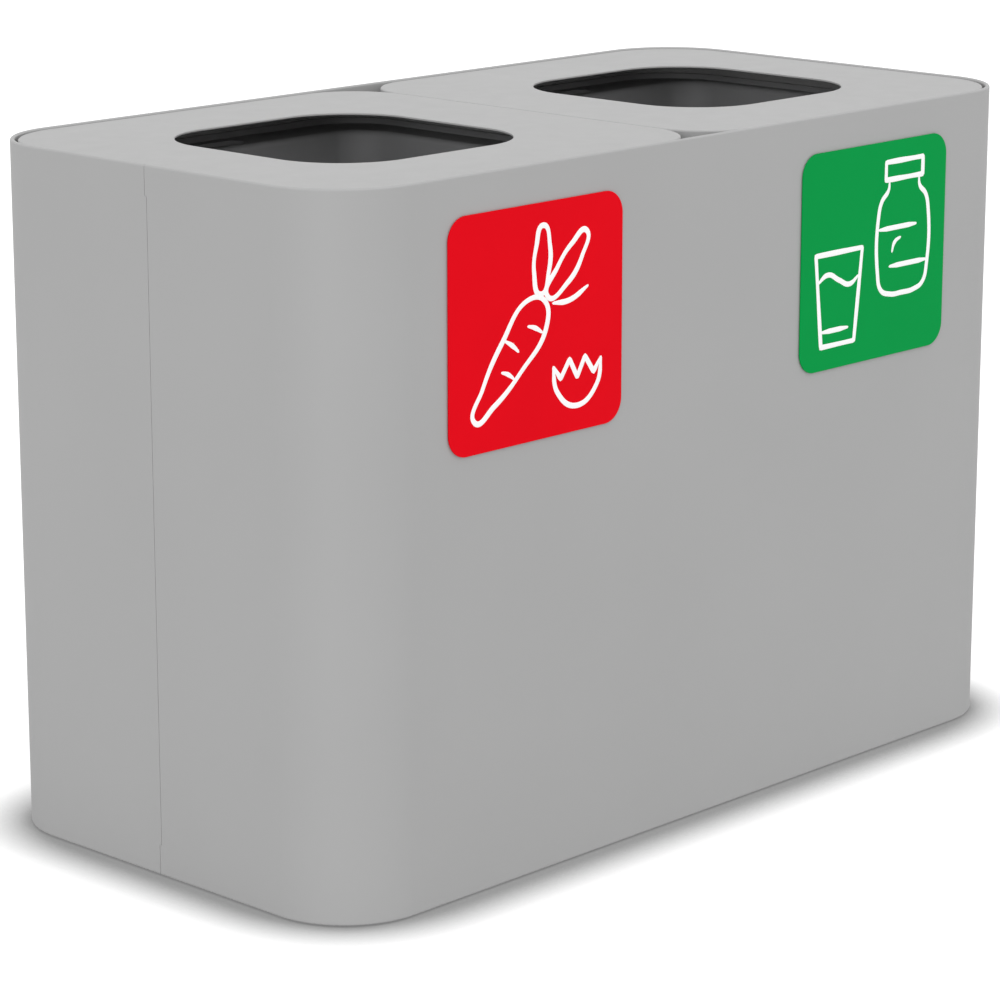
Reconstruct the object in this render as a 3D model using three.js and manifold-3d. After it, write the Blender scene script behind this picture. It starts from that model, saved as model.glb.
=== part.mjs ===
// Double recycling bin: a wrapped sheet-steel cabinet with folded hems, two lift-off lids
// with square openings, two moulded inner buckets and a sign plate over each compartment.
// Millimetres, +Z up. X runs along the bin, the front face looks to -Y, and the floor is z = 0.
import * as THREE from "three";
import { mergeVertices } from "three/addons/utils/BufferGeometryUtils.js";
import Module from "manifold-3d";

const wasm = await Module();
wasm.setup();

// ---- Cabinet ----
const binLength = 660; // outer, along X
const binDepth = 330; // outer, along Y
const binHeight = 450; // floor to rim
const cornerRadius = 58; // outer vertical corners
const floorGap = 1; // feet hold the bottom edge this far off the floor
const shellSheet = 1.2; // wrapped steel sheet
const hemWidth = 3; // rim thickness over the folded hem
const hemRadius = 1.4; // rounding on both edges of a hem
const topHemDepth = 19; // how far the rim's return leg reaches down
const bottomHemDepth = 20; // how far the bottom return leg reaches up
const seamGap = 0.3; // butt seam between the two half shells
const seamStep = 1.6; // the hems' seam stands this far behind the wall's seam
const seatGap = 0.3; // between pieces that are welded, screwed or stood on each other

// ---- Seam strips ----
const stripWidth = 46;
const stripSheet = 1.5;
const stripEndGap = 1; // strip ends to the rim's return leg and the base pan's edge

// ---- Ledges and cross rail ----
const ledgeThickness = 3; // flat bar, welded to the wall by its edge
const ledgeReach = 14.5; // width of the bar, inwards from the wall
const ledgeLength = 540;
const ledgeBelowHem = 6.7; // ledge top below the end of the rim's return leg
const railWidth = 40;
const railDrop = 24;
const railSheet = 1.5;
const railTabWidth = 34;
const railTabLap = 11; // tab under each ledge
const railTabRoot = 14; // joggled part of the tab under the rail's top

// ---- Base pan ----
const panSheet = 1.5;
const panFlange = 24; // upturned edge
const panBend = 2.5;
const panPadLength = 230; // pressed pad under each bucket
const panPadWidth = 176;
const panPadRise = 4;
const panPadRadius = 22;

// ---- Feet ----
const footEndInset = 55; // middle of a foot to the end of the bin
const footFaceInset = 47; // middle of a foot to the front or rear face
const footPadRadius = 22;
const footPadHeight = 6;
const footPadEdge = 1.5;
const footStemRadius = 13;
const footShoulder = 4; // cone between pad and stem
const footHoleFloor = 5;
const screwShankRadius = 2.6;
const screwTipRadius = 1.8;
const screwTipLength = 1;
const screwRunClearance = 0.3;
const screwLength = 17;
const screwHeadRadius = 6;
const screwHeadHeight = 3.4;
const screwCrownHeight = 1.1; // domed part of the head
const screwCrownRadius = 4.2; // flat top of the dome
const screwSlotReach = 3.3; // cross slot, from the middle
const screwSlotWidth = 1.2;
const screwSlotDepth = 1.6;

// ---- Lids ----
const lidRecess = 1; // lid top below the rim
const lidSheet = 1.5;
const lidEdgeRadius = 1.2;
const lidRimGap = 1; // lid edge to the inner face of the rim
const lidJointGap = 0.6; // between the two lids
const lidOuterCorner = 56; // corners beside the ends of the bin
const lidJointCorner = 44; // corners beside the joint between the lids
const holeSize = 181; // square opening
const holeCorner = 52;
const holeEdgeRadius = 0.5;

// ---- Buckets ----
const flangeSheet = 3;
const flangeEdgeRadius = 0.8;
const ridgeHeight = 4; // keeps the lid's skirt in place
const ridgeWidth = 2.4;
const ridgeClearance = 0.7; // to the inside of the lid's skirt
const flangeJointWidth = 27.2; // flange beside the joint between the lids
const flangeEndWidth = 11.5; // flange beside the end of the bin
const flangeSideWidth = 34.5; // flange at the front and the rear
const tubCorner = 27;
const tubWall = 2.5;
const tubTaper = 9; // each side, top to bottom
const tubMouthRadius = 4;
const tubFootRadius = 9;
const tubFootRing = 12;
const tubFootRecess = 2.5;
const bucketPadGap = 3; // bucket to the pads of the base pan
const handSlotLength = 92;
const handSlotWidth = 16;
const handSlotOffset = 4; // from the tub's wall
const gussetThickness = 2.4;
const gussetReach = 15;
const gussetDepth = 26;
const gussetPlaces = [72, 108]; // either side of the tub's middle

// ---- Sign plates ----
const signWidth = 154;
const signHeight = 146;
const signCorner = 15;
const signThickness = 1;
const signBelowRim = 24;

// ---- Fineness of the curves ----
const cornerSteps = 9;
const edgeSteps = 3;
const roundSteps = 28;
const cutMargin = 1; // cutting shapes run this far past what they cut
const quarterTurn = Math.PI / 2;

// ---- Levels and places that follow from the sizes ----
const bottomEdge = floorGap;
const topHemEnd = binHeight - topHemDepth;
const bottomHemEnd = bottomEdge + bottomHemDepth;
const stripInset = shellSheet + seatGap;
const ledgeTop = topHemEnd - ledgeBelowHem;
const ledgeBack = binDepth / 2 - shellSheet - seatGap;
const ledgeInnerEdge = ledgeBack - ledgeReach;
const panInset = shellSheet + seatGap;
const panUnder = bottomHemEnd + seatGap;
const panFloor = panUnder + panSheet;
const flangeUnder = ledgeTop + seatGap;
const flangeTop = flangeUnder + flangeSheet;
const bucketUnder = panFloor + panPadRise + bucketPadGap;
const lidTop = binHeight - lidRecess;
const skirtEnd = flangeTop + seatGap;
const lidLow = lidJointGap / 2;
const lidHigh = binLength / 2 - hemWidth - lidRimGap;
const lidHalfY = binDepth / 2 - hemWidth - lidRimGap;
const compartmentMiddle = binLength / 4;
const tubLow = lidLow + flangeJointWidth;
const tubHigh = lidHigh - flangeEndWidth;
const tubMiddle = (tubLow + tubHigh) / 2;
const tubHalfX = (tubHigh - tubLow) / 2;
const tubHalfY = lidHalfY - flangeSideWidth;
const footX = binLength / 2 - footEndInset;
const footY = binDepth / 2 - footFaceInset;
const screwHoleRadius = screwShankRadius + screwRunClearance;
const signFace = binDepth / 2 + seatGap;
const signProud = seatGap + signThickness;

// ---- Solids ----
function solidOf(geometry) {
  const bare = geometry.clone();
  bare.deleteAttribute("normal");
  bare.deleteAttribute("uv");
  const merged = mergeVertices(bare, 1e-4);
  const mesh = new wasm.Mesh({
    numProp: 3,
    vertProperties: new Float32Array(merged.attributes.position.array),
    triVerts: new Uint32Array(merged.index.array),
  });
  return new wasm.Manifold(mesh);
}

function geometryOf(solid) {
  const mesh = solid.getMesh();
  const geometry = new THREE.BufferGeometry();
  geometry.setAttribute("position", new THREE.BufferAttribute(mesh.vertProperties, 3));
  geometry.setIndex(new THREE.BufferAttribute(mesh.triVerts, 1));
  geometry.computeVertexNormals();
  return geometry;
}

function join(base, ...parts) {
  return parts.reduce((sum, part) => sum.add(part), base);
}

function cut(base, ...tools) {
  return tools.reduce((rest, tool) => rest.subtract(tool), base);
}

// A box between two opposite corners, in any order.
function block(from, to) {
  const size = to.map((value, axis) => Math.abs(value - from[axis]));
  const middle = to.map((value, axis) => (value + from[axis]) / 2);
  const geometry = new THREE.BoxGeometry(...size);
  geometry.translate(...middle);
  return solidOf(geometry);
}

// An outline in the YZ plane, extruded along X about the given middle.
function alongX(outline, middle, length) {
  const shape = new THREE.Shape(outline.map(([y, z]) => new THREE.Vector2(y, z)));
  const geometry = new THREE.ExtrudeGeometry(shape, { depth: length, bevelEnabled: false });
  geometry.rotateX(quarterTurn);
  geometry.rotateZ(quarterTurn);
  geometry.translate(middle - length / 2, 0, 0);
  return solidOf(geometry);
}

// An outline in the XZ plane, extruded along Y about y = 0.
function alongY(outline, length) {
  const shape = new THREE.Shape(outline.map(([x, z]) => new THREE.Vector2(x, z)));
  const geometry = new THREE.ExtrudeGeometry(shape, { depth: length, bevelEnabled: false });
  geometry.rotateX(quarterTurn);
  geometry.translate(0, length / 2, 0);
  return solidOf(geometry);
}

// A turned piece about Z: the profile is radius and height, from the axis round to the axis.
function turned(profile) {
  const points = profile.map(([r, z]) => new THREE.Vector2(r, z));
  const geometry = new THREE.LatheGeometry(points, roundSteps);
  geometry.rotateX(quarterTurn);
  return solidOf(geometry);
}

// ---- Forms that follow a rounded rectangle ----
// An outline has its middle, half sizes and a radius at its low-X and high-X corners.
function outlineOf(middleX, halfX, halfY, lowCorner, highCorner = lowCorner) {
  return { middleX, halfX, halfY, lowCorner, highCorner };
}

// The outline drawn in by an inset, as one ring of points at a height.
function ring(outline, inset, z) {
  const { middleX, halfX, halfY, lowCorner, highCorner } = outline;
  const points = [];
  const corners = [
    [1, -1, -quarterTurn, highCorner],
    [1, 1, 0, highCorner],
    [-1, 1, quarterTurn, lowCorner],
    [-1, -1, Math.PI, lowCorner],
  ];
  for (const [sideX, sideY, start, corner] of corners) {
    const centreX = middleX + sideX * (halfX - corner);
    const centreY = sideY * (halfY - corner);
    for (let step = 0; step <= cornerSteps; step++) {
      const angle = start + (quarterTurn * step) / cornerSteps;
      const radius = corner - inset;
      points.push([centreX + radius * Math.cos(angle), centreY + radius * Math.sin(angle), z]);
    }
  }
  return points;
}

// An edge rounding in the profile plane, from one quarter to the next: 0 faces out, 1 up,
// 2 in and 3 down.
function rounding(inset, z, radius, from, to) {
  const points = [];
  for (let step = 0; step <= edgeSteps; step++) {
    const angle = quarterTurn * (from + ((to - from) * step) / edgeSteps);
    points.push([inset - radius * Math.cos(angle), z + radius * Math.sin(angle)]);
  }
  return points;
}

function ringsOf(outline, profile) {
  return profile.map(([inset, z]) => ring(outline, inset, z));
}

// Rings joined in order. The surface closes on itself, or ends in a flat cap at both ends.
function lofted(rings, closed) {
  const count = rings[0].length;
  const positions = rings.flat(2);
  const index = [];
  const bands = closed ? rings.length : rings.length - 1;
  for (let band = 0; band < bands; band++) {
    const low = band * count;
    const high = ((band + 1) % rings.length) * count;
    for (let i = 0; i < count; i++) {
      const next = (i + 1) % count;
      index.push(low + i, low + next, high + next);
      index.push(low + i, high + next, high + i);
    }
  }
  if (!closed) {
    const last = (rings.length - 1) * count;
    for (let i = 1; i < count - 1; i++) {
      index.push(0, i + 1, i);
      index.push(last, last + i, last + i + 1);
    }
  }
  const geometry = new THREE.BufferGeometry();
  geometry.setAttribute("position", new THREE.Float32BufferAttribute(positions, 3));
  geometry.setIndex(index);
  return solidOf(geometry);
}

const cabinetOutline = outlineOf(0, binLength / 2, binDepth / 2, cornerRadius);
const lidOutline = outlineOf(
  (lidLow + lidHigh) / 2,
  (lidHigh - lidLow) / 2,
  lidHalfY,
  lidJointCorner,
  lidOuterCorner,
);
const tubOutline = outlineOf(tubMiddle, tubHalfX, tubHalfY, tubCorner);
const holeOutline = outlineOf(compartmentMiddle, holeSize / 2, holeSize / 2, holeCorner);

// ---- Cabinet pieces ----
// The whole wrapped wall with both hems, before it is parted at the seams.
function wrappedWall() {
  const foldEdge = hemWidth - hemRadius;
  const legInside = hemWidth - shellSheet;
  const profile = [
    ...rounding(hemRadius, binHeight - hemRadius, hemRadius, 0, 1),
    ...rounding(foldEdge, binHeight - hemRadius, hemRadius, 1, 2),
    [hemWidth, topHemEnd],
    [legInside, topHemEnd],
    [legInside, binHeight - shellSheet],
    [shellSheet, binHeight - shellSheet],
    [shellSheet, bottomEdge + shellSheet],
    [legInside, bottomEdge + shellSheet],
    [legInside, bottomHemEnd],
    [hemWidth, bottomHemEnd],
    ...rounding(foldEdge, bottomEdge + hemRadius, hemRadius, 2, 3),
    ...rounding(hemRadius, bottomEdge + hemRadius, hemRadius, 3, 4),
  ];
  return lofted(ringsOf(cabinetOutline, profile), true);
}

// The part of space that belongs to one half shell: its edge steps back at both hems.
function seamSide(side) {
  const far = side * binDepth;
  const wallEdge = (side * seamGap) / 2;
  const hemEdge = wallEdge + seamStep;
  const outline = [
    [far, 0],
    [hemEdge, 0],
    [hemEdge, bottomHemEnd],
    [wallEdge, bottomHemEnd],
    [wallEdge, topHemEnd],
    [hemEdge, topHemEnd],
    [hemEdge, binHeight + cutMargin],
    [far, binHeight + cutMargin],
  ];
  return alongX(outline, 0, binLength + 2 * cutMargin);
}

function seamStrip(side) {
  const back = binLength / 2 - stripInset;
  const low = panUnder + panFlange + stripEndGap;
  const high = topHemEnd - stripEndGap;
  const half = stripWidth / 2;
  return block([side * back, -half, low], [side * (back - stripSheet), half, high]);
}

// A flat bar on the inside of the front or rear wall, which carries the buckets' flanges.
function ledge(side) {
  const half = ledgeLength / 2;
  const under = ledgeTop - ledgeThickness;
  return block([-half, side * ledgeBack, under], [half, side * ledgeInnerEdge, ledgeTop]);
}

// A channel under the joint between the lids, with a tab lapped under the ledge at each end.
function crossRail() {
  const half = railWidth / 2;
  const outline = [
    [-half, ledgeTop - railDrop],
    [-half, ledgeTop],
    [half, ledgeTop],
    [half, ledgeTop - railDrop],
    [half - railSheet, ledgeTop - railDrop],
    [half - railSheet, ledgeTop - railSheet],
    [-half + railSheet, ledgeTop - railSheet],
    [-half + railSheet, ledgeTop - railDrop],
  ];
  const halfSpan = ledgeInnerEdge - seatGap;
  const tabTop = ledgeTop - ledgeThickness - seatGap;
  const tabUnder = tabTop - railSheet;
  const wide = railTabWidth / 2;
  const tabs = [-1, 1].flatMap((side) => {
    const root = side * (halfSpan - railTabRoot);
    const face = side * halfSpan;
    const tip = side * (halfSpan + seatGap + railTabLap);
    return [
      block([-wide, root, tabUnder], [wide, tip, tabTop]),
      block([-wide, root, tabUnder], [wide, face, ledgeTop - railSheet / 2]),
    ];
  });
  return join(alongY(outline, 2 * halfSpan), ...tabs);
}

// ---- Base ----
// The pressed pad's slanted block, standing on a level.
function padBlock(side, level) {
  const outline = outlineOf(side * tubMiddle, panPadLength / 2, panPadWidth / 2, panPadRadius);
  return lofted([ring(outline, 0, level), ring(outline, panPadRise, level + panPadRise)], false);
}

function roundHole(x, y, radius, low, high) {
  const hole = turned([[0, low], [radius, low], [radius, high], [0, high]]);
  return hole.translate([x, y, 0]);
}

const footPlaces = [];
for (const [end, x] of [["left", -footX], ["right", footX]])
  for (const [face, y] of [["front", -footY], ["rear", footY]])
    footPlaces.push({ name: face + "_" + end, x, y });

function basePan() {
  const profile = [
    ...rounding(panInset + panBend, panUnder + panBend, panBend, 3, 4),
    [panInset, panUnder + panFlange],
    [panInset + panSheet, panUnder + panFlange],
    [panInset + panSheet, panFloor + panBend - panSheet],
    [panInset + panBend, panFloor],
  ];
  const tray = lofted(ringsOf(cabinetOutline, profile), false);
  const pads = [-1, 1].map((side) => padBlock(side, panFloor));
  const hollows = [-1, 1].map((side) => padBlock(side, panUnder));
  const low = panUnder - cutMargin;
  const high = panFloor + cutMargin;
  const holes = footPlaces.map(({ x, y }) => roundHole(x, y, screwHoleRadius, low, high));
  return cut(join(tray, ...pads), ...hollows, ...holes);
}

function foot() {
  const top = panUnder - seatGap;
  return turned([
    [0, 0],
    [footPadRadius - footPadEdge, 0],
    [footPadRadius, footPadEdge],
    [footPadRadius, footPadHeight],
    [footStemRadius, footPadHeight + footShoulder],
    [footStemRadius, top],
    [screwHoleRadius, top],
    [screwHoleRadius, footHoleFloor],
    [0, footHoleFloor],
  ]);
}

function footScrew() {
  const seat = panFloor + seatGap;
  const tip = seat - screwLength;
  const top = seat + screwHeadHeight;
  const body = turned([
    [0, tip],
    [screwTipRadius, tip],
    [screwShankRadius, tip + screwTipLength],
    [screwShankRadius, seat],
    [screwHeadRadius, seat],
    [screwHeadRadius, top - screwCrownHeight],
    [screwCrownRadius, top],
    [0, top],
  ]);
  const half = screwSlotWidth / 2;
  const low = top - screwSlotDepth;
  const high = top + cutMargin;
  const slots = [
    block([-screwSlotReach, -half, low], [screwSlotReach, half, high]),
    block([-half, -screwSlotReach, low], [half, screwSlotReach, high]),
  ];
  return cut(body, ...slots);
}

// ---- Lid and bucket of the right compartment ----
function lid() {
  const under = lidTop - lidSheet;
  const holeEdge = holeEdgeRadius;
  return lofted(
    [
      ring(lidOutline, 0, skirtEnd),
      ...ringsOf(lidOutline, rounding(lidEdgeRadius, lidTop - lidEdgeRadius, lidEdgeRadius, 0, 1)),
      ring(holeOutline, -holeEdge, lidTop),
      ring(holeOutline, 0, lidTop - holeEdge),
      ring(holeOutline, 0, under),
      ring(lidOutline, lidSheet, under),
      ring(lidOutline, lidSheet, skirtEnd),
    ],
    true,
  );
}

// The tub narrows towards its foot: the draw-in of its outside at a height.
function draft(z) {
  return (tubTaper * (flangeUnder - z)) / (flangeUnder - bucketUnder);
}

function bucketBody() {
  const wallFoot = bucketUnder + tubFootRadius;
  const footInset = draft(wallFoot);
  const floorLevel = bucketUnder + tubFootRecess + tubWall;
  const innerRadius = tubFootRadius - tubWall;
  const floorBend = floorLevel + innerRadius;
  const innerInset = draft(floorBend) + tubWall;
  const ridgeOuter = lidSheet + ridgeClearance;
  const ridgeInner = ridgeOuter + ridgeWidth;
  const outerEdge = [
    [flangeEdgeRadius, flangeUnder],
    [0, flangeUnder + flangeEdgeRadius],
    [0, flangeTop - flangeEdgeRadius],
    [flangeEdgeRadius, flangeTop],
    [ridgeOuter, flangeTop],
    [ridgeOuter, flangeTop + ridgeHeight],
    [ridgeInner, flangeTop + ridgeHeight],
    [ridgeInner, flangeTop],
  ];
  const mouthInset = tubWall - tubMouthRadius;
  const tubBelow = [
    [footInset + tubFootRing + tubFootRecess, bucketUnder + tubFootRecess],
    [footInset + tubFootRing, bucketUnder],
    ...rounding(footInset + tubFootRadius, wallFoot, tubFootRadius, 3, 4),
    [0, flangeUnder],
  ];
  const tubInside = [
    ...rounding(mouthInset, flangeTop - tubMouthRadius, tubMouthRadius, 1, 2),
    ...rounding(innerInset + innerRadius, floorBend, innerRadius, 4, 3),
  ];
  return lofted(
    [
      ...ringsOf(tubOutline, tubBelow),
      ...ringsOf(lidOutline, outerEdge),
      ...ringsOf(tubOutline, tubInside),
    ],
    false,
  );
}

// A slot with round ends through the flange, long way along X.
function handSlot(side) {
  const middleY = side * (tubHalfY + handSlotOffset + handSlotWidth / 2);
  const end = handSlotWidth / 2;
  const straight = (handSlotLength - handSlotWidth) / 2;
  const shape = new THREE.Shape();
  shape.absarc(straight, 0, end, -quarterTurn, quarterTurn, false);
  shape.absarc(-straight, 0, end, quarterTurn, 3 * quarterTurn, false);
  const depth = flangeSheet + 2 * cutMargin;
  const options = { depth, bevelEnabled: false, curveSegments: cornerSteps };
  const geometry = new THREE.ExtrudeGeometry(shape, options);
  geometry.translate(tubMiddle, middleY, flangeUnder - cutMargin);
  return solidOf(geometry);
}

// A web between the tub's wall and the underside of the flange.
function gusset(side, place) {
  const wall = tubHalfY;
  const sunk = tubWall / 2;
  const lower = flangeUnder - gussetDepth;
  const outline = [
    [side * (wall - sunk), flangeUnder + flangeSheet / 2],
    [side * (wall + gussetReach), flangeUnder + flangeSheet / 2],
    [side * (wall + gussetReach), flangeUnder - flangeSheet],
    [side * (wall - draft(lower)), lower],
    [side * (wall - sunk), lower],
  ];
  return alongX(outline, tubMiddle + place, gussetThickness);
}

function bucket() {
  const webs = [];
  for (const side of [-1, 1])
    for (const place of gussetPlaces)
      webs.push(gusset(side, -place), gusset(side, place));
  return cut(join(bucketBody(), ...webs), handSlot(-1), handSlot(1));
}

// ---- Sign plate ----
function signPlate(middleX) {
  const halfX = signWidth / 2 - signCorner;
  const halfZ = signHeight / 2 - signCorner;
  const shape = new THREE.Shape();
  shape.absarc(halfX, -halfZ, signCorner, -quarterTurn, 0, false);
  shape.absarc(halfX, halfZ, signCorner, 0, quarterTurn, false);
  shape.absarc(-halfX, halfZ, signCorner, quarterTurn, Math.PI, false);
  shape.absarc(-halfX, -halfZ, signCorner, Math.PI, 3 * quarterTurn, false);
  const options = { depth: signThickness, bevelEnabled: false, curveSegments: cornerSteps };
  const geometry = new THREE.ExtrudeGeometry(shape, options);
  geometry.rotateX(quarterTurn);
  geometry.translate(middleX, -signFace, binHeight - signBelowRim - signHeight / 2);
  return solidOf(geometry);
}

// ---- Finishes ----
const finish = (color, roughness, metalness) =>
  new THREE.MeshStandardMaterial({ color, roughness, metalness });
const finishes = {
  cabinetPaint: finish(0xa9a9a9, 0.55, 0.1),
  lidPaint: finish(0xc1c1c1, 0.5, 0.1),
  bareSteel: finish(0x8f9296, 0.4, 0.8),
  bucketPlastic: finish(0x3b3b3d, 0.6, 0),
  footRubber: finish(0x1c1c1c, 0.9, 0),
  redPlate: finish(0xdf0a1b, 0.4, 0),
  greenPlate: finish(0x029846, 0.4, 0),
};

function piece(name, solid, material) {
  const mesh = new THREE.Mesh(geometryOf(solid), material);
  mesh.name = name;
  return mesh;
}

// ---- Assembly ----
const bin = new THREE.Group();
bin.name = "double_recycling_bin";
bin.position.y = signProud / 2; // the origin is under the middle of the whole bin, plates included

const wall = wrappedWall();
bin.add(piece("front_shell", wall.intersect(seamSide(-1)), finishes.cabinetPaint));
bin.add(piece("rear_shell", wall.intersect(seamSide(1)), finishes.cabinetPaint));
bin.add(piece("left_seam_strip", seamStrip(-1), finishes.cabinetPaint));
bin.add(piece("right_seam_strip", seamStrip(1), finishes.cabinetPaint));
bin.add(piece("front_ledge", ledge(-1), finishes.cabinetPaint));
bin.add(piece("rear_ledge", ledge(1), finishes.cabinetPaint));
bin.add(piece("cross_rail", crossRail(), finishes.cabinetPaint));
bin.add(piece("base_pan", basePan(), finishes.cabinetPaint));

for (const { name, x, y } of footPlaces) {
  const corner = new THREE.Group();
  corner.position.set(x, y, 0);
  corner.add(piece("foot_" + name, foot(), finishes.footRubber));
  corner.add(piece("foot_screw_" + name, footScrew(), finishes.bareSteel));
  bin.add(corner);
}

// Both compartments hold the same bucket and lid: the left ones are turned half a turn.
for (const [side, turn] of [["right", 0], ["left", Math.PI]]) {
  const compartment = new THREE.Group();
  compartment.rotation.z = turn;
  compartment.add(piece(side + "_bucket", bucket(), finishes.bucketPlastic));
  compartment.add(piece(side + "_lid", lid(), finishes.lidPaint));
  bin.add(compartment);
}

bin.add(piece("left_sign_plate", signPlate(-compartmentMiddle), finishes.redPlate));
bin.add(piece("right_sign_plate", signPlate(compartmentMiddle), finishes.greenPlate));

export default bin;
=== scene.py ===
import math

import bmesh
import bpy
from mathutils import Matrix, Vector


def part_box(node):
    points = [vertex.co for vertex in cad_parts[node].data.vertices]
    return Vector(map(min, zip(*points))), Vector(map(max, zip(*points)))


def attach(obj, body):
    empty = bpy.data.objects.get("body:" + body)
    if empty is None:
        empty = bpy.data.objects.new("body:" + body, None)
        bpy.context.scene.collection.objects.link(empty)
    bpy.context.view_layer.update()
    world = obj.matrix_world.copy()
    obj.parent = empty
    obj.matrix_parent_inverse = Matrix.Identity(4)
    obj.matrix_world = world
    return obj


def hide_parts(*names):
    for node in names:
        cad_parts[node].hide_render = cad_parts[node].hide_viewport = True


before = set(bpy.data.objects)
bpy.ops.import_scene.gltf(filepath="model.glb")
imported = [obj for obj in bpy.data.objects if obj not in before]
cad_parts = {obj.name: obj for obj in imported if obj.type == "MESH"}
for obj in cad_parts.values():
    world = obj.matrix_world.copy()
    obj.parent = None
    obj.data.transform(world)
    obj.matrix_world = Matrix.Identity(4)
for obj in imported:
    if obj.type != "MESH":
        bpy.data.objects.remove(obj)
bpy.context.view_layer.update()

scene = bpy.context.scene
quarter = math.pi / 2

# Camera. It stands in front of the left end and looks down a little.
cameraLook = {
    "place": (-1.7632, -1.6532, 0.7912),
    "yaw": math.radians(46.46),  # from straight ahead (+Y) towards the right
    "pitch": math.radians(14.11),  # downwards
    "lens": 132.4,
    "sensor": 36.0,
    "farEnd": 100.0,
}


def addCamera(look):
    data = bpy.data.cameras.new("viewCamera")
    data.sensor_fit = "HORIZONTAL"
    data.sensor_width = look["sensor"]
    data.lens = look["lens"]
    data.clip_end = look["farEnd"]
    camera = bpy.data.objects.new("viewCamera", data)
    camera.location = look["place"]
    camera.rotation_euler = (quarter - look["pitch"], 0, -look["yaw"])
    scene.collection.objects.link(camera)
    scene.camera = camera


addCamera(cameraLook)
print("camera placed")

# Finishes
patternLook = {
    "noiseRange": (0.3, 0.7),  # where a noise texture's values mostly lie
    "fineShare": 0.35,  # the fine grain's part of the relief
}
paintLook = {
    "color": (0.382, 0.382, 0.382),
    "colorSpread": 0.012,  # share by which the colour drifts over a panel
    "driftScale": 7.0,
    "roughness": (0.45, 0.50),
    "roughnessScale": 60.0,
    "peelScale": 420.0,  # orange peel, about 2 mm across
    "grainScale": 1500.0,  # fine grain of the powder
    "bump": 0.10,
    "bumpDepth": 0.00012,
    "gloss": 0.4,
}
plasticLook = {
    "color": (0.27, 0.27, 0.274),
    "colorSpread": 0.03,
    "driftScale": 16.0,
    "roughness": (0.55, 0.68),
    "roughnessScale": 120.0,
    "peelScale": 900.0,
    "grainScale": 2400.0,
    "bump": 0.35,
    "bumpDepth": 0.0002,
    "gloss": 0.35,
}
rubberLook = {
    "color": (0.022, 0.022, 0.023),
    "colorSpread": 0.15,
    "driftScale": 60.0,
    "roughness": (0.78, 0.92),
    "roughnessScale": 300.0,
    "peelScale": 1200.0,
    "grainScale": 3000.0,
    "bump": 0.5,
    "bumpDepth": 0.0003,
    "gloss": 0.3,
}
filmLook = {
    "colorSpread": 0.015,
    "driftScale": 20.0,
    "roughness": (0.34, 0.44),
    "roughnessScale": 80.0,
    "peelScale": 700.0,
    "grainScale": 2600.0,
    "bump": 0.05,
    "bumpDepth": 0.0001,
    "gloss": 0.03,
}
filmColors = {
    "red": (0.755, 0.0015, 0.0090),
    "green": (0.0010, 0.303, 0.0600),
    "white": (0.98, 0.98, 0.98),
}
inkGloss = 0.5
zincLook = {
    "color": (0.60, 0.61, 0.62),
    "roughness": (0.28, 0.46),
    "spangleScale": 260.0,
    "scratchScale": (90.0, 1500.0, 90.0),
    "bump": 0.2,
    "bumpDepth": 0.0001,
}


class Finish:
    # A principled material whose patterns lie on object coordinates.
    def __init__(self, name, color, metallic=0.0):
        self.material = bpy.data.materials.new(name)
        self.material.use_nodes = True
        self.tree = self.material.node_tree
        self.shader = self.tree.nodes["Principled BSDF"]
        self.shader.inputs["Base Color"].default_value = (*color, 1)
        self.shader.inputs["Metallic"].default_value = metallic
        self.place = self.tree.nodes.new("ShaderNodeTexCoord").outputs["Object"]

    def setGloss(self, level):
        self.shader.inputs["Specular IOR Level"].default_value = level

    def link(self, start, node, socket):
        self.tree.links.new(start, node.inputs[socket])

    def noise(self, scale, detail=2.0, place=None):
        node = self.tree.nodes.new("ShaderNodeTexNoise")
        node.inputs["Scale"].default_value = scale
        node.inputs["Detail"].default_value = detail
        self.link(place or self.place, node, "Vector")
        return node.outputs["Fac"]

    def spread(self, value, low, high):
        node = self.tree.nodes.new("ShaderNodeMapRange")
        node.inputs["From Min"].default_value = patternLook["noiseRange"][0]
        node.inputs["From Max"].default_value = patternLook["noiseRange"][1]
        node.inputs["To Min"].default_value = low
        node.inputs["To Max"].default_value = high
        self.link(value, node, "Value")
        return node.outputs["Result"]

    def drift(self, color, value, share):
        node = self.tree.nodes.new("ShaderNodeMix")
        node.data_type = "RGBA"
        dark = [part * (1 - share) for part in color]
        light = [min(1.0, part * (1 + share)) for part in color]
        node.inputs[6].default_value = (*dark, 1)
        node.inputs[7].default_value = (*light, 1)
        self.link(value, node, 0)
        self.link(node.outputs[2], self.shader, "Base Color")

    def relief(self, coarse, fine, strength, depth):
        total = self.tree.nodes.new("ShaderNodeMath")
        total.operation = "MULTIPLY_ADD"
        total.inputs[1].default_value = patternLook["fineShare"]
        self.link(fine, total, 0)
        self.link(coarse, total, 2)
        bump = self.tree.nodes.new("ShaderNodeBump")
        bump.inputs["Strength"].default_value = strength
        bump.inputs["Distance"].default_value = depth
        self.link(total.outputs[0], bump, "Height")
        self.link(bump.outputs["Normal"], self.shader, "Normal")


def grainedFinish(name, look, color=None):
    color = color or look["color"]
    made = Finish(name, color)
    patches = made.spread(made.noise(look["driftScale"]), 0, 1)
    made.drift(color, patches, look["colorSpread"])
    worn = made.spread(made.noise(look["roughnessScale"]), *look["roughness"])
    made.link(worn, made.shader, "Roughness")
    coarse = made.noise(look["peelScale"])
    fine = made.noise(look["grainScale"])
    made.relief(coarse, fine, look["bump"], look["bumpDepth"])
    made.setGloss(look["gloss"])
    return made.material


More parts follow.
